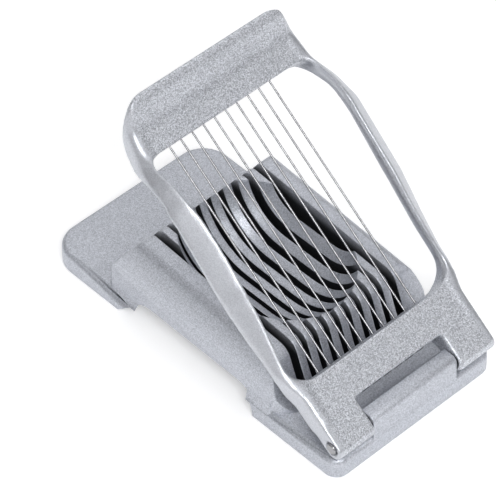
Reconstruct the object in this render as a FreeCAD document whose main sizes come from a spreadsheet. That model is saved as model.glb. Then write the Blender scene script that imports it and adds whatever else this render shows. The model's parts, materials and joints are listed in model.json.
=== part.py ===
import FreeCAD, Part

import math
import os

Vector = FreeCAD.Vector
doc = FreeCAD.newDocument("egg_slicer")

# Sizes in millimetres and degrees. The hinge axis runs along X above the origin, which lies
# on the floor; Y runs from the hinge to the handle. Frame sizes are taken with the frame shut:
# "along" is the distance behind the hinge axis, "level" the height above it.
SIZES = (
    ("wire_count", "10", "cutting wires, each with its own slot"),
    ("wire_pitch", "5.0", "spacing of wires and slots"),
    ("wire_diameter", "0.7", "drawn steel wire"),
    ("wire_span", "88.7", "free length of a wire across the window"),
    ("wire_anchor", "6.0", "length of wire held inside the handle"),
    ("wire_inset", "1.3", "height of the wires above the frame's underside"),
    ("wire_tail", "3.2", "length of the bent tail"),
    ("pin_diameter", "4.0", "hinge pin"),
    ("pin_stand", "0.6", "pin end standing proud of the lug"),
    ("running_gap", "0.05", "radial clearance of the lugs on the pin"),
    ("hinge_height", "13.7", "hinge axis above the floor"),
    ("open_angle", "37.2", "angle of the frame as photographed"),
    ("closing_gap", "0.3", "space left above the deck when shut"),
    ("casting_wall", "2.6", "wall of the base casting"),
    ("deck_height", "7.8", "flat deck and rear plate above the floor"),
    ("deck_round", "2.0", "rounding of the deck's outer edge"),
    ("base_width", "73.8", "footprint across the floor"),
    ("base_front", "3.1", "footprint in front of the hinge axis"),
    ("base_rear", "138.2", "footprint behind the hinge axis"),
    ("front_corner", "5.0", "plan radius of the front corners"),
    ("rear_corner", "11.0", "plan radius of the rear corners"),
    ("block_half", "19.5", "half width of the hinge block"),
    ("block_gap", "0.4", "side gap between block and lugs"),
    ("slot_width", "2.0", "slot for one wire"),
    ("end_slot_extra", "1.0", "extra width of the two end slots"),
    ("rim_wall", "2.4", "upright wall beside the end slots"),
    ("window_half", "35.8", "half width of the frame's window"),
    ("flank_gap", "0.5", "gap between tub flank and rail"),
    ("front_gap", "0.5", "gap between crossbar and tub front"),
    ("rear_gap", "1.9", "gap between tub rear and handle"),
    ("ridge_front", "27.4", "tub height at its front shoulder"),
    ("ridge_rear", "32.6", "tub height where its rear slope starts"),
    ("tub_corner", "8.5", "plan radius of the tub's front corners"),
    ("tub_rear_corner", "2.5", "plan radius of the tub's rear corners"),
    ("rear_slope_run", "11.3", "length of the tub's rear slope"),
    ("rear_slope_foot", "17.0", "height where the rear slope turns upright"),
    ("shoulder_run", "10.2", "length of the tub's front slope"),
    ("cradle_half_width", "25.2", "half width of the egg cradle"),
    ("cradle_half_length", "34.0", "half length of the egg cradle"),
    ("cradle_centre", "67.0", "middle of the cradle along Y"),
    ("cradle_margin", "2.6", "cradle floor above the shut wires"),
    ("arch_front", "36.5", "front end of the side arch at the floor"),
    ("arch_length", "66.5", "length of the side arch at the floor"),
    ("arch_height", "9.8", "height of the side arch"),
    ("crossbar_depth", "22.0", "window's front edge, along the frame"),
    ("notch_depth", "9.6", "notch over the hinge block"),
    ("lug_half", "36.2", "lug's outer face from the middle"),
    ("lug_wall_above", "1.0", "metal above the pin"),
    ("lug_wall_below", "1.9", "metal below the pin"),
    ("lug_wall_front", "2.2", "metal in front of the pin"),
    ("rail_width", "6.1", "width of a side rail at its foot"),
    ("rail_height", "5.4", "height of a side rail"),
    ("rail_crest", "9.8", "top of the arched rails"),
    ("crest_along", "90.0", "where the rails reach their crest"),
    ("handle_depth", "19.4", "window's rear edge to the handle's lip"),
    ("handle_half", "35.7", "half width of the handle"),
    ("handle_level", "2.8", "top of the handle's flat"),
    ("lip_level", "8.9", "top of the handle's raised lip"),
    ("lip_thickness", "3.0", "metal at the raised lip"),
    ("handle_corner", "9.0", "plan radius of the handle's corners"),
    ("window_corner", "5.0", "plan radius of the window's rear corners"),
    ("half_wires", "=(wire_count - 1) / 2 * wire_pitch", "outermost wire from the middle"),
    ("rim_inner", "=half_wires + slot_width / 2 + end_slot_extra", "inner face of the rim"),
    ("rim_outer", "=rim_inner + rim_wall", "outer face of the rim"),
    ("tub_half", "=window_half - flank_gap", "half width of the tub"),
    ("tub_front", "=crossbar_depth + front_gap", "foot of the tub's front slope"),
    ("window_rear", "=crossbar_depth + wire_span", "window's rear edge"),
    ("tub_rear", "=window_rear - rear_gap", "tub's rear wall"),
    ("frame_bottom", "=deck_height + closing_gap - hinge_height", "level of the underside"),
    ("wire_level", "=frame_bottom + wire_inset", "level of the wires"),
    ("notch_half", "=block_half + block_gap", "half width of the notch"),
    ("pin_half", "=lug_half + pin_stand", "half length of the pin"),
    ("cradle_floor", "=hinge_height + wire_level + cradle_margin", "lowest point of the cradle"),
)

sheet = doc.addObject("Spreadsheet::Sheet", "sizes")
for row, (alias, content, meaning) in enumerate(SIZES, 1):
    sheet.set("A%d" % row, meaning)
    sheet.set("B%d" % row, content)
    sheet.setAlias("B%d" % row, alias)
doc.recompute()


def size(alias):
    return float(sheet.get(alias))


def in_plan(a, b):
    return Vector(a, b, 0)


def in_side(a, b):
    return Vector(0, a, b)


def in_front(a, b):
    return Vector(a, 0, b)


def rounded_wire(corners, plane):
    """Closed outline through (a, b, radius) corners, each rounded by its own radius."""
    arcs = []
    count = len(corners)
    for i, (a, b, radius) in enumerate(corners):
        corner = Vector(a, b, 0)
        back = Vector(*corners[i - 1][:2], 0) - corner
        ahead = Vector(*corners[(i + 1) % count][:2], 0) - corner
        back.normalize()
        ahead.normalize()
        half_angle = back.getAngle(ahead) / 2
        reach = radius / math.tan(half_angle)
        middle = back + ahead
        middle.normalize()
        depth = radius / math.sin(half_angle) - radius
        arcs.append((corner + back * reach, corner + middle * depth, corner + ahead * reach))
    edges = []
    for i, (start, mid, end) in enumerate(arcs):
        if start.distanceToPoint(end) > 1e-6:
            points = [plane(p.x, p.y) for p in (start, mid, end)]
            edges.append(Part.Arc(*points).toShape())
        following = arcs[(i + 1) % count][0]
        if end.distanceToPoint(following) > 1e-6:
            edges.append(Part.makeLine(plane(end.x, end.y), plane(following.x, following.y)))
    return Part.Wire(edges)


def mirrored(corners):
    """Corners of the +X half, followed by the same corners on the -X half."""
    return corners + [(-a, b, radius) for a, b, radius in reversed(corners)]


def side_extrusion(corners, left, right):
    face = Part.Face(rounded_wire(corners, in_side))
    face.translate(Vector(left, 0, 0))
    return face.extrude(Vector(right - left, 0, 0))


def plan_extrusion(corners, low, high):
    face = Part.Face(rounded_wire(corners, in_plan))
    face.translate(Vector(0, 0, low))
    return face.extrude(Vector(0, 0, high - low))


def feature(label, shape):
    made = doc.addObject("Part::Feature", label)
    made.Shape = shape
    return made


def bound(kind, label, **expressions):
    """A document primitive whose properties follow cells of the sheet."""
    made = doc.addObject(kind, label)
    for name, expression in expressions.items():
        made.setExpression(name.replace("__", "."), expression)
    return made


def joined(kind, label, parts):
    made = doc.addObject(kind, label)
    made.Shapes = parts
    return made


def cut_away(label, body, tools):
    """Take the tools from the body one after another; the last cut carries the label."""
    for i, tool in enumerate(tools, 1):
        last = i == len(tools)
        result = doc.addObject("Part::Cut", label if last else "%s_cut_%d" % (label, i))
        result.Base = body
        result.Tool = tool
        body = result
    return body


ABOVE = 60.0
OUTSIDE = 60.0


# Base casting

def skirt():
    half = size("base_width") / 2
    deck = size("deck_height")
    corners = [
        (half, -size("base_front"), size("front_corner")),
        (half, size("base_rear"), size("rear_corner")),
    ]
    solid = plan_extrusion(mirrored(corners), 0, deck)
    deck_edges = [edge for edge in solid.Edges if edge.BoundBox.ZMin > deck - 0.01]
    return solid.makeFillet(size("deck_round"), deck_edges)


def ridge(y):
    """Height of the tub's straight, gently rising top line."""
    start = size("tub_front") + size("shoulder_run")
    end = size("tub_rear") - size("rear_slope_run")
    rise = (size("ridge_rear") - size("ridge_front")) / (end - start)
    return size("ridge_front") + rise * (y - start)


def tub_hull(inset):
    """Flat top and full flanks, drawn square to the sloping ridge and run along it."""
    half = size("tub_half") - inset
    shoulder = 0.55 * size("rim_outer") + 0.45 * half
    drop = 0.5 * (size("ridge_front") - size("deck_height"))
    corners = [(half, -ABOVE, 0), (half, -drop, 30), (shoulder, 0, 5)]
    face = Part.Face(rounded_wire(mirrored(corners), in_front))
    along = Vector(0, size("base_rear"), ridge(size("base_rear")) - ridge(0))
    face.rotate(Vector(), Vector(1, 0, 0), math.degrees(math.atan2(along.z, along.y)))
    face.translate(Vector(0, 0, ridge(0) - inset))
    return face.extrude(along)


def tub_side(inset):
    """Side view of the tub: soft foot and round shoulder in front, steep slope behind."""
    front = size("tub_front") + inset
    shoulder = front + size("shoulder_run")
    rear = size("tub_rear") - inset
    slope_top = rear - size("rear_slope_run")
    deck = size("deck_height")
    return side_extrusion([
        (front, 0, 0),
        (front, deck, 0),
        (front + 0.45 * size("shoulder_run"), deck + 0.27 * (ridge(shoulder) - deck), 8),
        (shoulder, ridge(shoulder) - inset, 5.5),
        (slope_top, ridge(slope_top) - inset, 3),
        (rear - 0.1 * size("rear_slope_run"), size("rear_slope_foot"), 8),
        (rear, deck, 0),
        (rear, 0, 0),
    ], -OUTSIDE, OUTSIDE)


def tub_plan():
    half = size("tub_half") + 0.1
    front = size("tub_front") - 0.3
    rear = size("tub_rear") + 0.1
    corners = [(half, front, size("tub_corner")), (half, rear, size("tub_rear_corner"))]
    return plan_extrusion(mirrored(corners), 0, ABOVE)


def hinge_block():
    top = size("hinge_height") + size("pin_diameter") / 2 + 1.3
    rear = size("pin_diameter") / 2 + 2.0
    front = -size("base_front")
    return side_extrusion([
        (front, 0, 0),
        (front + 0.6, top, 2.5),
        (rear, top, 1.0),
        (rear, 0, 0),
    ], -size("block_half"), size("block_half"))


def underside():
    """Open hollow below the deck, from the hinge block to the rear wall."""
    wall = size("casting_wall")
    half = size("base_width") / 2 - wall
    front = size("pin_diameter") / 2 + 2.0
    rear = size("base_rear") - wall
    corners = [(half, front, 2.5), (half, rear, size("rear_corner") - wall)]
    return plan_extrusion(mirrored(corners), -1, size("deck_height") - wall)


def flank_hollow(side):
    """Hollow between the rim and the curved flank, open below."""
    wall = size("casting_wall")
    left, right = sorted((side * size("rim_outer"), side * OUTSIDE))
    keep = Part.makeBox(right - left, size("base_rear"), ABOVE, Vector(left, 0, -1))
    return tub_hull(wall).common(tub_side(wall)).common(keep)


def side_arch(side):
    """Arch between the feet, cut from the outside up to the rim."""
    front = size("arch_front")
    length = size("arch_length")
    top = size("arch_height")
    corners = [
        (front, -1, 0),
        (front + 0.02 * length, top, 9),
        (front + 0.83 * length, top + 0.4, 9),
        (front + length, 0, 0),
        (front + length, -1, 0),
    ]
    inner = size("rim_outer")
    return side_extrusion(corners, *sorted((side * inner, side * OUTSIDE)))


def cradle():
    """Egg cradle: a trough with ball ends, turned about its long axis."""
    radius = size("cradle_half_width")
    axis_height = size("cradle_floor") + radius
    front = size("cradle_centre") - size("cradle_half_length")
    rear = size("cradle_centre") + size("cradle_half_length")
    corners = [
        (front, axis_height, 0),
        (front, size("cradle_floor"), radius),
        (rear, size("cradle_floor"), radius),
        (rear, axis_height, 0),
    ]
    face = Part.Face(rounded_wire(corners, in_side))
    return face.revolve(Vector(0, 0, axis_height), Vector(0, 1, 0), 360)


tub = joined("Part::MultiCommon", "tub", [
    feature("tub_hull", tub_hull(0)),
    feature("tub_side", tub_side(0)),
    feature("tub_outline", tub_plan()),
])
solid_base = joined("Part::MultiFuse", "solid_base", [
    feature("skirt", skirt()),
    tub,
    feature("hinge_block", hinge_block()),
])

hollows = []
for side in (1, -1):
    hollows.append(feature("flank_hollow", flank_hollow(side)))
    hollows.append(feature("side_arch", side_arch(side)))
hollows.append(feature("underside", underside()))

for k in range(int(size("wire_count"))):
    at_left_end = k == 0
    at_end = k in (0, int(size("wire_count")) - 1)
    extra = " + sizes.end_slot_extra" if at_end else ""
    start = "%d * sizes.wire_pitch - sizes.half_wires - sizes.slot_width / 2" % k
    slot = bound(
        "Part::Box", "slot_%02d" % (k + 1),
        Length="sizes.slot_width" + extra,
        Width="sizes.base_rear",
        Height="sizes.ridge_rear",
        Placement__Base__x=start + (" - sizes.end_slot_extra" if at_left_end else ""),
        Placement__Base__y="sizes.crossbar_depth - 2",
        Placement__Base__z="sizes.deck_height",
    )
    hollows.append(slot)

hollows.append(feature("cradle", cradle()))

LENGTHWAYS = FreeCAD.Rotation(Vector(0, 1, 0), 90)


def along_x(label, radius, half_length):
    """Cylinder on the hinge axis, spread evenly to both sides."""
    rod = bound(
        "Part::Cylinder", label,
        Radius=radius,
        Height="2 * (%s)" % half_length,
        Placement__Base__x="-(%s)" % half_length,
        Placement__Base__z="sizes.hinge_height",
    )
    rod.Placement.Rotation = LENGTHWAYS
    return rod


hollows.append(along_x("block_bore", "sizes.pin_diameter / 2", "sizes.block_half + 1"))
base_casting = cut_away("base_casting", solid_base, hollows)

# Hinge pin, pressed into the block
hinge_pin = along_x("hinge_pin", "sizes.pin_diameter / 2", "sizes.pin_half")


# Cutting frame, drawn shut with the hinge axis at the origin

def outer_line():
    """Plan of the frame's +X side from crossbar to lip, as (along, half width, radius)."""
    outer = size("window_half") + size("rail_width")
    return [
        (0.82 * size("crossbar_depth"), size("lug_half"), 8),
        (1.3 * size("crossbar_depth"), outer - 2.6, 12),
        (2.7 * size("crossbar_depth"), outer, 80),
        (size("window_rear") - 17, outer, 30),
        (size("window_rear") - 3, size("handle_half") + 3, 25),
        (size("window_rear") + 8, size("handle_half") + 1, 20),
        (size("window_rear") + size("handle_depth"), size("handle_half"), size("handle_corner")),
    ]


def top_line():
    """Side view of the frame's upper face from crossbar to lip, as (along, level, radius)."""
    start = size("crossbar_depth")
    rear = size("window_rear")
    crest = size("rail_crest")
    top = size("pin_diameter") / 2 + size("lug_wall_above")
    return [
        (start + 7, top, 40),
        (start + 50, crest - 0.6, 120),
        (size("crest_along"), crest, 60),
        (rear - 11, 0.84 * crest, 14),
        (rear + 1, size("handle_level"), 8),
        (rear + 0.45 * size("handle_depth"), size("handle_level"), 0.5 * size("handle_depth")),
        (rear + size("handle_depth") - 2.4, size("lip_level"), 4),
    ]


def under_line():
    """Side view of the frame's lower face from crossbar to lip, as (along, level, radius)."""
    start = size("crossbar_depth")
    rear = size("window_rear")
    bottom = size("frame_bottom")
    rail_under = size("rail_crest") - size("rail_height")
    lip_under = size("lip_level") - size("lip_thickness")
    return [
        (start + 1, bottom, 5),
        (start + 8, 0.35 * bottom, 20),
        (start + 22, 0.25 * bottom, 60),
        (size("crest_along") - 2, rail_under, 40),
        (rear - 13, 0.8 * rail_under, 12),
        (rear - 2, bottom, 5),
        (rear + 0.45 * size("handle_depth"), bottom, 9),
        (rear + size("handle_depth") - 2, lip_under, 4),
    ]


def level_at(line, along):
    """Height or width of a line of corners at one place, level beyond its ends."""
    if along <= line[0][0]:
        return line[0][1]
    for (start, low, _), (end, high, _) in zip(line, line[1:]):
        if along <= end:
            return low + (high - low) * (along - start) / (end - start)
    return line[-1][1]


def frame_outline():
    lug_root = size("pin_diameter") / 2 + size("lug_wall_front")
    half = [
        (size("notch_half"), size("notch_depth"), 1.2),
        (size("notch_half"), lug_root, 0),
        (size("lug_half"), lug_root, 0),
    ]
    half += [(width, along, radius) for along, width, radius in outer_line()]
    return plan_extrusion(mirrored(half), -ABOVE, ABOVE)


def frame_window():
    half = [
        (size("window_half"), size("crossbar_depth"), 9),
        (size("window_half"), size("window_rear"), size("window_corner")),
    ]
    return plan_extrusion(mirrored(half), -ABOVE, ABOVE)


def frame_side():
    """Side view: crossbar, arched rails, and a handle dished up to a raised lip."""
    pin = size("pin_diameter") / 2
    lug_bottom = -pin - size("lug_wall_below")
    past_lip = size("window_rear") + size("handle_depth") + 5
    corners = [
        (0, lug_bottom, 0),
        (0.62 * size("notch_depth"), lug_bottom, 2),
        (0.9 * size("notch_depth"), size("frame_bottom"), 1),
    ]
    corners += under_line()
    corners += [
        (past_lip, size("lip_level") - size("lip_thickness"), 0),
        (past_lip, size("lip_level"), 0),
    ]
    corners += reversed(top_line())
    corners.append((0, pin + size("lug_wall_above"), 0))
    return side_extrusion(corners, -OUTSIDE, OUTSIDE)


# The rails slope down outwards. Each row: place along the window as a share of the wires' span,
# then the slope's width and drop as shares of the rail's width and height.
RAIL_SLOPE = (
    (0.02, 0.10, 0.10),
    (0.12, 0.52, 0.70),
    (0.29, 0.78, 0.92),
    (0.45, 0.86, 0.95),
    (0.77, 0.88, 0.90),
    (0.88, 0.72, 0.90),
    (0.99, 0.42, 0.75),
    (1.12, 0.30, 0.55),
    (1.26, 0.30, 0.45),
)


def rail_slope(side):
    """What is cut from above a rail's sloping outer face."""
    sections = []
    for share, run_share, drop_share in RAIL_SLOPE:
        along = size("crossbar_depth") + share * size("wire_span")
        outer = level_at(outer_line(), along)
        top = level_at(top_line(), along)
        run = run_share * size("rail_width")
        drop = drop_share * size("rail_height")
        triangle = [
            (outer - 2 * run, top + drop),
            (outer + run, top - 2 * drop),
            (outer + OUTSIDE, top + OUTSIDE),
        ]
        points = [Vector(side * x, along, level) for x, level in triangle]
        sections.append(Part.makePolygon(points + points[:1]))
    return Part.makeLoft(sections, True, True)


def lug(side):
    """Hinge lug with a round front end, rooted in the crossbar."""
    pin = size("pin_diameter") / 2
    top = pin + size("lug_wall_above")
    bottom = -pin - size("lug_wall_below")
    front = -pin - size("lug_wall_front")
    root = 0.62 * size("notch_depth")
    corners = [(front, bottom, 3.2), (root, bottom, 0), (root, top, 0), (front, top, 2.8)]
    return side_extrusion(corners, *sorted((side * size("notch_half"), side * size("lug_half"))))


MITRED = 1


def wire_x(k):
    return k * size("wire_pitch") - size("half_wires")


def ends_in_notch(k):
    """The middle wires come out in the notch; the outer ones stop inside the crossbar."""
    room = size("notch_half") - size("wire_tail") - size("wire_diameter")
    return abs(wire_x(k)) < room


def wire_start(k):
    return size("notch_depth") if ends_in_notch(k) else size("notch_depth") + 2


def wire_hole(k):
    start = wire_start(k) - (2 if ends_in_notch(k) else 0)
    length = size("window_rear") + size("wire_anchor") - start
    foot = Vector(wire_x(k), start, size("wire_level"))
    return Part.makeCylinder(size("wire_diameter") / 2, length, foot, Vector(0, 1, 0))


def cutting_wire(k):
    """Straight wire; where it comes out in the notch its tail is bent aside along X."""
    x = wire_x(k)
    level = size("wire_level")
    radius = size("wire_diameter") / 2
    end = Vector(x, size("window_rear") + size("wire_anchor"), level)
    path = [end, Vector(x, wire_start(k), level)]
    if ends_in_notch(k):
        path[1].y -= 2 * radius
        path.append(path[1] + Vector(size("wire_tail"), 0, 0))
    ring = Part.Wire(Part.makeCircle(radius, end, Vector(0, 1, 0)))
    return Part.makePolygon(path).makePipeShell([ring], True, False, MITRED)


def raise_frame(part):
    """Swing a frame piece up about the hinge axis to the photographed angle."""
    part.Placement = FreeCAD.Placement(Vector(), FreeCAD.Rotation(Vector(1, 0, 0), 1))
    part.setExpression("Placement.Base.z", "sizes.hinge_height")
    part.setExpression("Placement.Rotation.Angle", "sizes.open_angle")


solid_frame = joined("Part::MultiCommon", "solid_frame", [
    feature("frame_outline", frame_outline()),
    feature("frame_side", frame_side()),
])
framed = cut_away("framed", solid_frame, [
    feature("frame_window", frame_window()),
    feature("rail_slope", rail_slope(1)),
    feature("rail_slope", rail_slope(-1)),
])

lug_bore = bound(
    "Part::Cylinder", "lug_bore",
    Radius="sizes.pin_diameter / 2 + sizes.running_gap",
    Height="2 * sizes.pin_half",
    Placement__Base__x="-sizes.pin_half",
)
lug_bore.Placement.Rotation = LENGTHWAYS
frame_cuts = [lug_bore]
wires = []
for k in range(int(size("wire_count"))):
    frame_cuts.append(feature("wire_hole_%02d" % (k + 1), wire_hole(k)))
    wires.append(feature("cutting_wire_%02d" % (k + 1), cutting_wire(k)))
whole_frame = joined("Part::MultiFuse", "whole_frame", [
    framed,
    feature("lug", lug(1)),
    feature("lug", lug(-1)),
])
cutting_frame = cut_away("cutting_frame", whole_frame, frame_cuts)
for part in [cutting_frame] + wires:
    raise_frame(part)

doc.recompute()
for made in doc.Objects:
    if "Invalid" in made.State or "Error" in made.State:
        raise ValueError("%s did not build" % made.Label)
    if hasattr(made, "Shape") and (made.Shape.isNull() or not made.Shape.isValid()):
        raise ValueError("%s has no sound shape" % made.Label)

os.makedirs("parts", exist_ok=True)
for part in [base_casting, hinge_pin, cutting_frame] + wires:
    part.Shape.exportStep("parts/%s.step" % part.Label)
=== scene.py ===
import json
import math

import bpy
from mathutils import Matrix, Vector


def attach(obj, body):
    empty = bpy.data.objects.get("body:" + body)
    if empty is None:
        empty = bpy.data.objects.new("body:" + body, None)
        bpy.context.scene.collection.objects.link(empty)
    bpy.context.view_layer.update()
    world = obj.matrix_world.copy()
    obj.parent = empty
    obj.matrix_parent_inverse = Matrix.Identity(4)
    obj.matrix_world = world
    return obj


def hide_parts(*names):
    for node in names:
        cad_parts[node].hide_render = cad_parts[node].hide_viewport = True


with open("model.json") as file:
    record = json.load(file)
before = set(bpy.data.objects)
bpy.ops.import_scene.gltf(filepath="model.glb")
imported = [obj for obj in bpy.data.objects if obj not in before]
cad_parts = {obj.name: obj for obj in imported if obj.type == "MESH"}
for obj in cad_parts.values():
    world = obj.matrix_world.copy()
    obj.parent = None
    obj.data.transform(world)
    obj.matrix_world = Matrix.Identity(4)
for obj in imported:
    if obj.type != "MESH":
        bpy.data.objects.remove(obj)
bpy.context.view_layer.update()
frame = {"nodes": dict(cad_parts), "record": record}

MM = 0.001

# The cutting frame in millimetres, at rest: along is measured from the hinge, level above it
hinge = frame["record"]["behaviour"]["joints"][0]
HINGE_HEIGHT = hinge["pos_m"][2] / MM
OPEN_ANGLE = math.radians(-hinge["range_deg"][0])
FRAME_HALF = 41.85
LUG_NOSE = -4.0
HANDLE_HALF = 33.0
HANDLE_FRONT = 111.7
BORE_REACH = 2.7
RAIL_DEPTH = 5.0
# The rails' underside, as (along, level)
RAIL_UNDER = (
    (-10, -5.6), (23, -5.6), (30, -2.0), (44, -1.4), (88, 4.4), (97.7, 3.5), (108.7, -5.6), (140, -5.6),
)
# Stretches along the frame: where each starts, is full, starts to fade and ends
CROWN_STRETCH = (24, 52, 82, 106)
RAIL_STRETCH = (20, 32, 98, 110)
# Soft runs, from nothing to full: the first along the frame, the others across it
PIN_CLEAR = (5.0, 9.0)
POLISH_BAND = (32.0, 35.5)
SIDE_BAND = (31.5, 34.0)
RAIL_BAND = (33.0, 35.0)
OUTER_BAND = (37.0, 41.0)
# How squarely a face must look one way, from 0 to 1, to count as turned that way
TURNED_UP = 0.55
TURNED_TO_PIN = 0.3
TURNED_IN = (0.1, 0.6)
TURNED_DOWN = (0.0, 0.5)

# The base in millimetres
TUB_HALF = 35.3
SKIRT_HALF = 36.9
SKIRT_TOP = 5.8
DECK = 7.8
FLANK_FRONT = 29
FLANK_REAR = 100
NEAR = 0.05
WIRE_PITCH = 5.0
SLOT_HALF = 1.05
END_SLOT = 23.4
SLOT_REACH = 24.6
SLOT_FRONT = 20.1
SLOT_REAR = 108.9
SLOT_TOP = 28.4
SLOT_FOOT = 22.0
TUB_SHOULDER = 32.7
RIDGE_SLOPE = 0.08

# How far the castings' skins are moved, in millimetres, and how many smoothing passes they get
CAST_VOXEL = 0.45
SKIN_BUILD = 0.2
SIDE_BUILD = 0.3
RAIL_BUILD = 0.3
BORE_EASE = 0.45
RAIL_LEAN = 1.4
RAIL_RISE = 1.6
ALL_PASSES = 12
SIDE_PASSES = 40
RAIL_PASSES = 60
DIP_PASSES = 35
BROKEN_EDGE = 0.3
PIN_CHAMFER = 0.4
FLAT_ANGLE = math.radians(1.0)
JOIN_GAP = 0.002
FLANK_JOIN_GAP = 0.01

# Finishes and studio
FLAKE_SIZE = 4200.0
GRAIN_BUMP = 0.6
GRAIN_DEPTH = 0.1
CAST_GLOSS = (0.40, 0.46)
WIRE_GLOSS = (0.18, 0.32)
SIDE_GRAIN = 0.25
SIDE_GLOSS = 0.66
# Painted shade: a near-black colour laid into the deep slots where shade falls in them
PAINTED_SLOT_SHADE = (0.035, 0.037, 0.042, 1.0)
FLOOR_LIFT = 0.32
SKY_SHADES = [(0.0, (0.12, 0.12, 0.125)), (0.35, (0.22, 0.22, 0.225)), (0.9, (0.62, 0.62, 0.63))]


# Shared surface effects

def new_group(name, inputs, outputs):
    """A node group with named numbers in, each with its first value, and named numbers out."""
    group = bpy.data.node_groups.new(name, "ShaderNodeTree")
    for label, value in inputs:
        socket = group.interface.new_socket(label, in_out="INPUT", socket_type="NodeSocketFloat")
        socket.default_value = value
    for label in outputs:
        group.interface.new_socket(label, in_out="OUTPUT", socket_type="NodeSocketFloat")
    return group, group.nodes.new("NodeGroupInput"), group.nodes.new("NodeGroupOutput")


def metallic_grain():
    """Fine sparkle of a grained metallic lacquer: flakes, a soft mottle and a height to bump."""
    group, given, result = new_group(
        "metallic_grain",
        [("Flake Size", FLAKE_SIZE), ("Mottle Size", 90.0), ("Sparkle", 0.5)],
        ["Tone", "Height", "Mottle"],
    )
    nodes, links = group.nodes, group.links
    where = nodes.new("ShaderNodeTexCoord")
    flakes = nodes.new("ShaderNodeTexVoronoi")
    flakes.feature = "F1"
    grit = nodes.new("ShaderNodeTexNoise")
    grit.inputs["Detail"].default_value = 3.0
    mottle = nodes.new("ShaderNodeTexNoise")
    mottle.inputs["Detail"].default_value = 4.0
    for texture in (flakes, grit, mottle):
        links.new(where.outputs["Object"], texture.inputs["Vector"])
    links.new(given.outputs["Flake Size"], flakes.inputs["Scale"])
    links.new(given.outputs["Flake Size"], grit.inputs["Scale"])
    links.new(given.outputs["Mottle Size"], mottle.inputs["Scale"])
    split = nodes.new("ShaderNodeSeparateColor")
    links.new(flakes.outputs["Color"], split.inputs["Color"])
    centred = nodes.new("ShaderNodeMath")
    centred.operation = "SUBTRACT"
    centred.inputs[1].default_value = 0.5
    links.new(split.outputs["Red"], centred.inputs[0])
    scaled = nodes.new("ShaderNodeMath")
    scaled.operation = "MULTIPLY"
    links.new(centred.outputs[0], scaled.inputs[0])
    links.new(given.outputs["Sparkle"], scaled.inputs[1])
    tone = nodes.new("ShaderNodeMath")
    tone.operation = "ADD"
    tone.inputs[1].default_value = 0.5
    links.new(scaled.outputs[0], tone.inputs[0])
    height = nodes.new("ShaderNodeMath")
    height.operation = "ADD"
    links.new(split.outputs["Green"], height.inputs[0])
    links.new(grit.outputs["Fac"], height.inputs[1])
    links.new(tone.outputs[0], result.inputs["Tone"])
    links.new(height.outputs[0], result.inputs["Height"])
    links.new(mottle.outputs["Fac"], result.inputs["Mottle"])
    return group


def painted_slot_shade():
    """Mask of the painted shade in the slots: 0 on the fins and near the tub's top, 1 at the foot of the
    slots, where their shade is painted in.
    """
    group, given, result = new_group(
        "painted_slot_shade",
        [
            ("Pitch", WIRE_PITCH * MM), ("Slot Half", SLOT_HALF * MM), ("End Slot", END_SLOT * MM),
            ("Reach", SLOT_REACH * MM), ("Front", SLOT_FRONT * MM), ("Rear", SLOT_REAR * MM),
            ("Shoulder", TUB_SHOULDER * MM), ("Ridge Slope", RIDGE_SLOPE),
            ("Top", SLOT_TOP * MM), ("Foot", SLOT_FOOT * MM),
        ],
        ["Depth"],
    )
    nodes, links = group.nodes, group.links

    def math_node(operation, first, second):
        node = nodes.new("ShaderNodeMath")
        node.operation = operation
        for socket, value in zip(node.inputs, (first, second)):
            if isinstance(value, float):
                socket.default_value = value
            else:
                links.new(value, socket)
        return node.outputs[0]

    where = nodes.new("ShaderNodeTexCoord")
    axes = nodes.new("ShaderNodeSeparateXYZ")
    links.new(where.outputs["Object"], axes.inputs["Vector"])
    pitch = given.outputs["Pitch"]
    # The slots lie half a pitch to each side of the middle, so a pitch starts midway in a fin.
    within_pitch = math_node("FLOORED_MODULO", axes.outputs["X"], pitch)
    off_centre = math_node("SUBTRACT", within_pitch, math_node("MULTIPLY", pitch, 0.5))
    off_slot = math_node("ABSOLUTE", off_centre, 0.0)
    aside = math_node("ABSOLUTE", axes.outputs["X"], 0.0)
    in_slot = math_node(
        "MAXIMUM",
        math_node("LESS_THAN", off_slot, given.outputs["Slot Half"]),
        math_node("GREATER_THAN", aside, given.outputs["End Slot"]),
    )
    in_reach = math_node("LESS_THAN", aside, given.outputs["Reach"])
    behind = math_node("GREATER_THAN", axes.outputs["Y"], given.outputs["Front"])
    before = math_node("LESS_THAN", axes.outputs["Y"], given.outputs["Rear"])
    past_shoulder = math_node("SUBTRACT", axes.outputs["Y"], given.outputs["Shoulder"])
    rise = math_node("MULTIPLY", past_shoulder, given.outputs["Ridge Slope"])
    fall = nodes.new("ShaderNodeMapRange")
    fall.interpolation_type = "SMOOTHSTEP"
    links.new(math_node("SUBTRACT", axes.outputs["Z"], rise), fall.inputs["Value"])
    links.new(given.outputs["Top"], fall.inputs["From Min"])
    links.new(given.outputs["Foot"], fall.inputs["From Max"])
    across = math_node("MULTIPLY", in_slot, in_reach)
    inside = math_node("MULTIPLY", across, math_node("MULTIPLY", behind, before))
    links.new(math_node("MULTIPLY", inside, fall.outputs["Result"]), result.inputs["Depth"])
    return group


grain = metallic_grain()
slot_shade_mask = painted_slot_shade()


# Materials

def new_material(name):
    material = bpy.data.materials.new(name)
    material.use_nodes = True
    nodes, links = material.node_tree.nodes, material.node_tree.links
    return material, nodes, links, nodes["Principled BSDF"]


def ramp(nodes, stops):
    node = nodes.new("ShaderNodeValToRGB")
    for i, (place, level) in enumerate(stops):
        stop = node.color_ramp.elements[i] if i < 2 else node.color_ramp.elements.new(place)
        stop.position = place
        stop.color = (level[0], level[1], level[2], 1.0)
    return node


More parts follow.
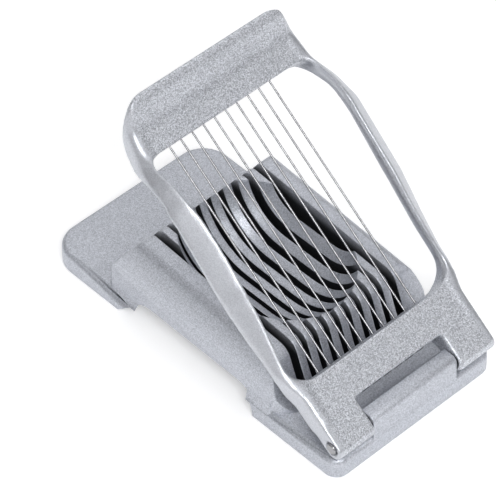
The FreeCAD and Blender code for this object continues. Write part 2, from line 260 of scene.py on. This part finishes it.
def run_between(nodes, links, value, ends, levels):
    """A soft run between two levels, as the value goes from one end to the other."""
    node = nodes.new("ShaderNodeMapRange")
    node.interpolation_type = "SMOOTHSTEP"
    for label, number in zip(("From Min", "From Max", "To Min", "To Max"), ends + levels):
        node.inputs[label].default_value = number
    links.new(value, node.inputs["Value"])
    return node.outputs["Result"]


def gloss_range(nodes, links, value, levels):
    """A roughness that follows a pattern between two levels."""
    node = nodes.new("ShaderNodeMapRange")
    for label, number in zip(("To Min", "To Max"), levels):
        node.inputs[label].default_value = number
    links.new(value, node.inputs["Value"])
    return node.outputs["Result"]


def cast_lacquer(name, sparkle, pale, deep, paints_slot_shade, smooth_sides):
    """Silver grained lacquer. Its slot flag paints shade into the deep slots, smooth_sides calms and
    polishes the sides.
    """
    material, nodes, links, shader = new_material(name)
    effect = nodes.new("ShaderNodeGroup")
    effect.node_tree = grain
    effect.inputs["Flake Size"].default_value = FLAKE_SIZE
    effect.inputs["Sparkle"].default_value = sparkle
    if smooth_sides:
        where = nodes.new("ShaderNodeTexCoord")
        axes = nodes.new("ShaderNodeSeparateXYZ")
        links.new(where.outputs["Object"], axes.inputs["Vector"])
        aside = nodes.new("ShaderNodeMath")
        aside.operation = "ABSOLUTE"
        links.new(axes.outputs["X"], aside.inputs[0])
        sides = tuple(half * MM for half in POLISH_BAND)
        calm = run_between(nodes, links, aside.outputs[0], sides, (sparkle, SIDE_GRAIN * sparkle))
        links.new(calm, effect.inputs["Sparkle"])
    tone = ramp(nodes, [(0.15, deep), (0.85, pale)])
    links.new(effect.outputs["Tone"], tone.inputs["Fac"])
    colour = tone.outputs["Color"]
    # Painted shade: the slots' colour is darkened towards their foot, standing in for the shade that falls
    # in them
    if paints_slot_shade:
        inside = nodes.new("ShaderNodeGroup")
        inside.node_tree = slot_shade_mask
        shaded = nodes.new("ShaderNodeMix")
        shaded.data_type = "RGBA"
        shaded.inputs["B"].default_value = PAINTED_SLOT_SHADE
        links.new(inside.outputs["Depth"], shaded.inputs["Factor"])
        links.new(colour, shaded.inputs["A"])
        colour = shaded.outputs["Result"]
    links.new(colour, shader.inputs["Base Color"])
    roughness = gloss_range(nodes, links, effect.outputs["Mottle"], CAST_GLOSS)
    if smooth_sides:
        rubbed = run_between(nodes, links, aside.outputs[0], sides, (1.0, SIDE_GLOSS))
        polished = nodes.new("ShaderNodeMath")
        polished.operation = "MULTIPLY"
        links.new(roughness, polished.inputs[0])
        links.new(rubbed, polished.inputs[1])
        roughness = polished.outputs[0]
    links.new(roughness, shader.inputs["Roughness"])
    bump = nodes.new("ShaderNodeBump")
    bump.inputs["Strength"].default_value = GRAIN_BUMP
    bump.inputs["Distance"].default_value = GRAIN_DEPTH * MM
    links.new(effect.outputs["Height"], bump.inputs["Height"])
    links.new(bump.outputs["Normal"], shader.inputs["Normal"])
    shader.inputs["Metallic"].default_value = 0.8
    return material


def drawn_wire():
    """Bright steel with faint draw marks along the wire."""
    material, nodes, links, shader = new_material("drawn_wire")
    where = nodes.new("ShaderNodeTexCoord")
    marks = nodes.new("ShaderNodeTexNoise")
    marks.inputs["Scale"].default_value = 700.0
    links.new(where.outputs["Object"], marks.inputs["Vector"])
    tone = ramp(nodes, [(0.3, (0.22, 0.22, 0.23)), (0.7, (0.36, 0.36, 0.37))])
    links.new(marks.outputs["Fac"], tone.inputs["Fac"])
    links.new(tone.outputs["Color"], shader.inputs["Base Color"])
    gloss = gloss_range(nodes, links, marks.outputs["Fac"], WIRE_GLOSS)
    links.new(gloss, shader.inputs["Roughness"])
    shader.inputs["Metallic"].default_value = 1.0
    return material


def turned_pin():
    """Polished steel with fine turning rings about the hinge axis."""
    material, nodes, links, shader = new_material("turned_pin")
    where = nodes.new("ShaderNodeTexCoord")
    centre = nodes.new("ShaderNodeMapping")
    centre.inputs["Location"].default_value = (0.0, 0.0, -HINGE_HEIGHT * MM)
    rings = nodes.new("ShaderNodeTexWave")
    rings.wave_type = "RINGS"
    rings.rings_direction = "X"
    rings.inputs["Scale"].default_value = 900.0
    rings.inputs["Distortion"].default_value = 1.5
    links.new(where.outputs["Object"], centre.inputs["Vector"])
    links.new(centre.outputs["Vector"], rings.inputs["Vector"])
    tone = ramp(nodes, [(0.0, (0.26, 0.26, 0.27)), (1.0, (0.46, 0.46, 0.47))])
    links.new(rings.outputs["Fac"], tone.inputs["Fac"])
    links.new(tone.outputs["Color"], shader.inputs["Base Color"])
    shader.inputs["Metallic"].default_value = 1.0
    shader.inputs["Roughness"].default_value = 0.22
    return material


# The base's lacquer has painted shade in its slots; the frame's has none
base_lacquer = cast_lacquer("base_lacquer", 0.6, (0.77, 0.79, 0.85), (0.36, 0.38, 0.42), True, False)
frame_lacquer = cast_lacquer("frame_lacquer", 0.9, (0.88, 0.90, 0.95), (0.34, 0.355, 0.39), False, True)
wire_steel = drawn_wire()
pin_steel = turned_pin()


# Castings, refined from the CAD meshes

def pick(piece):
    bpy.ops.object.select_all(action="DESELECT")
    piece.select_set(True)
    bpy.context.view_layer.objects.active = piece


def merged_copy(node_name, name):
    """A copy of a CAD node's mesh with its loose triangles joined."""
    node = frame["nodes"][node_name]
    mesh = node.data.copy()
    mesh.transform(node.matrix_world)
    mesh.materials.clear()
    piece = bpy.data.objects.new(name, mesh)
    bpy.context.collection.objects.link(piece)
    pick(piece)
    bpy.ops.object.mode_set(mode="EDIT")
    bpy.ops.mesh.select_all(action="SELECT")
    bpy.ops.mesh.remove_doubles(threshold=JOIN_GAP * MM)
    bpy.ops.object.mode_set(mode="OBJECT")
    return piece


def apply_modifier(piece, kind, name, **settings):
    modifier = piece.modifiers.new(name, kind)
    for setting, value in settings.items():
        setattr(modifier, setting, value)
    bpy.ops.object.modifier_apply(modifier=modifier.name)


def select_where(piece, wanted):
    """In edit mode, select just the vertices whose place is wanted."""
    bpy.ops.mesh.select_all(action="DESELECT")
    bpy.ops.object.mode_set(mode="OBJECT")
    for vertex in piece.data.vertices:
        vertex.select = wanted(vertex.co / MM)
    bpy.ops.object.mode_set(mode="EDIT")


def eased(low, high, value):
    """0 up to low, 1 from high on, with a soft run between."""
    t = min(max((value - low) / (high - low), 0.0), 1.0)
    return t * t * (3.0 - 2.0 * t)


def within(stretch, value):
    """1 over the full part of a stretch, with a soft run at either end."""
    start, full, fading, end = stretch
    return eased(start, full, value) * (1.0 - eased(fading, end, value))


def on_frame(vertex):
    """How far along the opened frame a point lies, and at what level."""
    y, z = vertex.co.y / MM, vertex.co.z / MM - HINGE_HEIGHT
    cosine, sine = math.cos(OPEN_ANGLE), math.sin(OPEN_ANGLE)
    return y * cosine + z * sine, z * cosine - y * sine


def facing_up(vertex):
    """1 where the surface faces straight up from the opened frame, -1 where it faces straight down."""
    return vertex.normal.dot(Vector((0.0, -math.sin(OPEN_ANGLE), math.cos(OPEN_ANGLE))))


def handle_dip(vertex):
    """The handle's upper face, from its flat up to just below the lip's edge."""
    along, _ = on_frame(vertex)
    inside = along > HANDLE_FRONT and abs(vertex.co.x) < HANDLE_HALF * MM
    return 1.0 if inside and facing_up(vertex) > TURNED_UP else 0.0


def rail_crown(vertex):
    """The rails' upper inner edge, full in mid length and nothing at the outer face."""
    along, level = on_frame(vertex)
    under = RAIL_UNDER[0][1]
    for (a, low), (b, high) in zip(RAIL_UNDER, RAIL_UNDER[1:]):
        if a <= along <= b:
            under = low + (high - low) * (along - a) / (b - a)
    inner = 1.0 - eased(*OUTER_BAND, abs(vertex.co.x) / MM)
    return within(CROWN_STRETCH, along) * eased(0.0, RAIL_DEPTH, level - under) * inner


def outer_sides(vertex):
    """The rails, the crossbar's ends and the lugs' flanks, clear of the pin."""
    along, _ = on_frame(vertex)
    return eased(*SIDE_BAND, abs(vertex.co.x) / MM) * eased(*PIN_CLEAR, along)


def round_rails(vertex):
    """The two rails alone, between crossbar and handle."""
    along, _ = on_frame(vertex)
    return eased(*RAIL_BAND, abs(vertex.co.x) / MM) * within(RAIL_STRETCH, along)


def shown_faces(vertex):
    """Faces that look up or outwards: those over the tub and over the deck keep their clearance."""
    inwards = -vertex.normal.x if vertex.co.x > 0 else vertex.normal.x
    return (1.0 - eased(*TURNED_IN, inwards)) * (1.0 - eased(*TURNED_DOWN, -facing_up(vertex)))


def lug_bores(vertex):
    """The walls of the lugs' bores, which face the pin."""
    outwards = Vector((0.0, vertex.co.y / MM, vertex.co.z / MM - HINGE_HEIGHT))
    faces_pin = vertex.normal.dot(outwards.normalized()) < -TURNED_TO_PIN
    return 1.0 if outwards.length < BORE_REACH and faces_pin else 0.0


def painted(piece, name, weight):
    """A vertex group with the weight that each vertex is given."""
    group = piece.vertex_groups.new(name=name)
    for vertex in piece.data.vertices:
        share = weight(vertex)
        if share > 0.0:
            group.add([vertex.index], share, "REPLACE")
    return group.name


def keep_box(piece):
    """Hold the rails' outermost line and the lugs' noses inside the CAD box."""
    bpy.ops.object.mode_set(mode="EDIT")
    bpy.ops.mesh.select_mode(type="VERT")
    for side in (1, -1):
        select_where(piece, lambda at: side * at.x > FRAME_HALF)
        bpy.ops.transform.resize(value=(0, 1, 1), center_override=(side * FRAME_HALF * MM, 0, 0))
    select_where(piece, lambda at: at.y < LUG_NOSE)
    bpy.ops.transform.resize(value=(1, 0, 1), center_override=(0, LUG_NOSE * MM, 0))
    bpy.ops.object.mode_set(mode="OBJECT")


def moved(piece, name, where, build, direction="NORMAL"):
    """Move a painted part of the skin by a build in millimetres."""
    apply_modifier(
        piece, "DISPLACE", name, direction=direction, strength=build * MM, mid_level=0.0, vertex_group=where,
    )


def smoothed(piece, name, passes, where=""):
    """Let the whole skin, or a painted part of it, flow."""
    apply_modifier(piece, "SMOOTH", name, factor=0.5, iterations=passes, vertex_group=where)


def soft_frame_casting():
    """The cutting frame with the soft edges and flowing corners of a die casting."""
    piece = merged_copy("cutting_frame", "frame_casting")
    apply_modifier(piece, "REMESH", "cast_skin", mode="VOXEL", voxel_size=CAST_VOXEL * MM)
    left = painted(piece, "left_crown", lambda v: rail_crown(v) if v.co.x < 0 else 0.0)
    right = painted(piece, "right_crown", lambda v: rail_crown(v) if v.co.x > 0 else 0.0)
    for inwards, crown in ((1, left), (-1, right)):
        moved(piece, "lean", crown, inwards * RAIL_LEAN, direction="X")
        moved(piece, "rise", crown, RAIL_RISE, direction="Z")
    smoothed(piece, "flow", ALL_PASSES)
    for name, weight, passes in (
        ("side_flow", outer_sides, SIDE_PASSES),
        ("rail_flow", round_rails, RAIL_PASSES),
        ("dip_flow", handle_dip, DIP_PASSES),
    ):
        smoothed(piece, name, passes, painted(piece, name, weight))
    for name, weight, build in (
        ("skin", shown_faces, SKIN_BUILD),
        ("side_skin", lambda v: shown_faces(v) * outer_sides(v), SIDE_BUILD),
        ("rail_skin", lambda v: shown_faces(v) * round_rails(v), RAIL_BUILD),
        ("bore_ease", lug_bores, -BORE_EASE),
    ):
        moved(piece, name, painted(piece, name, weight), build)
    piece.vertex_groups.clear()
    keep_box(piece)
    bpy.ops.object.shade_smooth()
    piece.data.materials.append(frame_lacquer)
    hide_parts("cutting_frame")
    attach(piece, "frame")


def join_flats():
    """Join the active piece's flat triangles into whole faces."""
    bpy.ops.object.mode_set(mode="EDIT")
    bpy.ops.mesh.select_all(action="SELECT")
    bpy.ops.mesh.dissolve_limited(angle_limit=FLAT_ANGLE)
    bpy.ops.object.mode_set(mode="OBJECT")


def break_edges(piece, width, sharp, soft, clamp):
    """Round off edges past the sharp angle, and shade those below the soft angle smooth."""
    apply_modifier(
        piece, "BEVEL", "broken_edges", width=width * MM, segments=2, limit_method="ANGLE",
        angle_limit=math.radians(sharp), use_clamp_overlap=clamp,
    )
    apply_modifier(piece, "TRIANGULATE", "facets")
    bpy.ops.object.shade_smooth_by_angle(angle=math.radians(soft))


def flush_flanks(piece):
    """Run the flanks out into the skirt, so that no ledge shows between them."""
    bpy.ops.object.mode_set(mode="EDIT")
    bpy.ops.mesh.select_mode(type="VERT")
    for side in (1, -1):
        select_where(piece, lambda at: (
            side * at.x > TUB_HALF - 2 * NEAR
            and SKIRT_TOP - NEAR < at.z < DECK + NEAR
            and FLANK_FRONT < at.y < FLANK_REAR
        ))
        bpy.ops.transform.resize(
            value=(0, 1, 0), center_override=(side * SKIRT_HALF * MM, 0, SKIRT_TOP * MM),
        )
    bpy.ops.mesh.select_all(action="SELECT")
    bpy.ops.mesh.remove_doubles(threshold=FLANK_JOIN_GAP * MM)
    bpy.ops.object.mode_set(mode="OBJECT")


def broken_edge_base():
    """The base casting with its sharp edges broken."""
    piece = merged_copy("base_casting", "slotted_base")
    join_flats()
    flush_flanks(piece)
    break_edges(piece, BROKEN_EDGE, sharp=35.0, soft=28.0, clamp=False)
    piece.data.materials.append(base_lacquer)
    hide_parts("base_casting")
    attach(piece, "base")


def turned_hinge_pin():
    """The pin with its ends chamfered."""
    piece = merged_copy("hinge_pin", "turned_hinge_pin")
    join_flats()
    break_edges(piece, PIN_CHAMFER, sharp=60.0, soft=40.0, clamp=True)
    piece.data.materials.append(pin_steel)
    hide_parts("hinge_pin")
    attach(piece, "base")


soft_frame_casting()
broken_edge_base()
turned_hinge_pin()
for name, node in frame["nodes"].items():
    if name.startswith("cutting_wire"):
        node.data.materials.clear()
        node.data.materials.append(wire_steel)


# Studio

def floor_material():
    """Pale floor that takes the object's shadow and shows white where it is unshaded."""
    material, nodes, links, shader = new_material("pale_floor")
    where = nodes.new("ShaderNodeTexCoord")
    cloud = nodes.new("ShaderNodeTexNoise")
    cloud.inputs["Scale"].default_value = 3.0
    links.new(where.outputs["Object"], cloud.inputs["Vector"])
    tone = ramp(nodes, [(0.0, (0.88, 0.88, 0.88)), (1.0, (0.91, 0.91, 0.91))])
    links.new(cloud.outputs["Fac"], tone.inputs["Fac"])
    links.new(tone.outputs["Color"], shader.inputs["Base Color"])
    shader.inputs["Roughness"].default_value = 0.9
    rays = nodes.new("ShaderNodeLightPath")
    seen = rays.outputs["Is Camera Ray"]
    for kind in ("Is Glossy Ray", "Is Transmission Ray"):
        either = nodes.new("ShaderNodeMath")
        either.operation = "MAXIMUM"
        links.new(seen, either.inputs[0])
        links.new(rays.outputs[kind], either.inputs[1])
        seen = either.outputs[0]
    lift = nodes.new("ShaderNodeMath")
    lift.operation = "MULTIPLY"
    lift.inputs[1].default_value = FLOOR_LIFT
    links.new(seen, lift.inputs[0])
    shader.inputs["Emission Color"].default_value = (1.0, 1.0, 1.0, 1.0)
    links.new(lift.outputs[0], shader.inputs["Emission Strength"])
    return material


bpy.ops.object.select_all(action="DESELECT")
bpy.ops.mesh.primitive_plane_add(size=8.0, location=(0, 0, 0))
floor = bpy.context.object
floor.name = "studio_floor"
floor.data.materials.append(floor_material())


OBJECT_MIDDLE = Vector((0.0, 0.065, 0.03))


def softbox(name, position, width, height, power):
    """A rectangular lamp that looks at the middle of the object."""
    data = bpy.data.lights.new(name, "AREA")
    data.shape = "RECTANGLE"
    data.size = width
    data.size_y = height
    data.energy = power
    lamp = bpy.data.objects.new(name, data)
    lamp.location = position
    lamp.rotation_euler = (OBJECT_MIDDLE - lamp.location).to_track_quat("-Z", "Y").to_euler()
    bpy.context.collection.objects.link(lamp)


softbox("key_box", (-1.0, -0.35, 0.45), 0.6, 0.5, 0.6)
softbox("rear_box", (0.7, 0.75, 1.05), 1.7, 1.7, 5.0)
softbox("front_box", (0.5, -1.0, 0.9), 0.5, 0.5, 0.9)
softbox("edge_box", (-0.56, -0.83, 1.12), 0.6, 0.6, 11.0)

world = bpy.data.worlds.new("studio")
bpy.context.scene.world = world
world.use_nodes = True
sky_nodes, sky_links = world.node_tree.nodes, world.node_tree.links
sky = sky_nodes["Background"]
heading = sky_nodes.new("ShaderNodeTexCoord")
height = sky_nodes.new("ShaderNodeSeparateXYZ")
shade = ramp(sky_nodes, SKY_SHADES)
sky_links.new(heading.outputs["Generated"], height.inputs["Vector"])
sky_links.new(height.outputs["Z"], shade.inputs["Fac"])
sky_links.new(shade.outputs["Color"], sky.inputs["Color"])
sky.inputs["Strength"].default_value = 1.0

# Camera, from the fitted viewpoint of the photograph
IMAGE_WIDTH = 496
SENSOR_WIDTH = 36.0
FOCAL_PIXELS = 3521.6
AZIMUTH = math.radians(-43.605)
ELEVATION = math.radians(46.174)
DISTANCE = 1166.7 * MM
SHIFT_RIGHT = -53.27 * MM
SHIFT_UP = 56.36 * MM

back = Vector((
    math.sin(AZIMUTH) * math.cos(ELEVATION),
    -math.cos(AZIMUTH) * math.cos(ELEVATION),
    math.sin(ELEVATION),
))
right = Vector((math.cos(AZIMUTH), math.sin(AZIMUTH), 0.0))
up = back.cross(right)
camera_data = bpy.data.cameras.new("camera")
camera_data.sensor_fit = "HORIZONTAL"
camera_data.sensor_width = SENSOR_WIDTH
camera_data.lens = FOCAL_PIXELS * SENSOR_WIDTH / IMAGE_WIDTH
camera_data.clip_start = 0.01
camera = bpy.data.objects.new("camera", camera_data)
turn = Matrix((right, up, back)).transposed().to_4x4()
place = back * DISTANCE + right * SHIFT_RIGHT + up * SHIFT_UP
camera.matrix_world = Matrix.Translation(place) @ turn
bpy.context.collection.objects.link(camera)
bpy.context.scene.camera = camera
bpy.context.scene.view_settings.view_transform = "Standard"
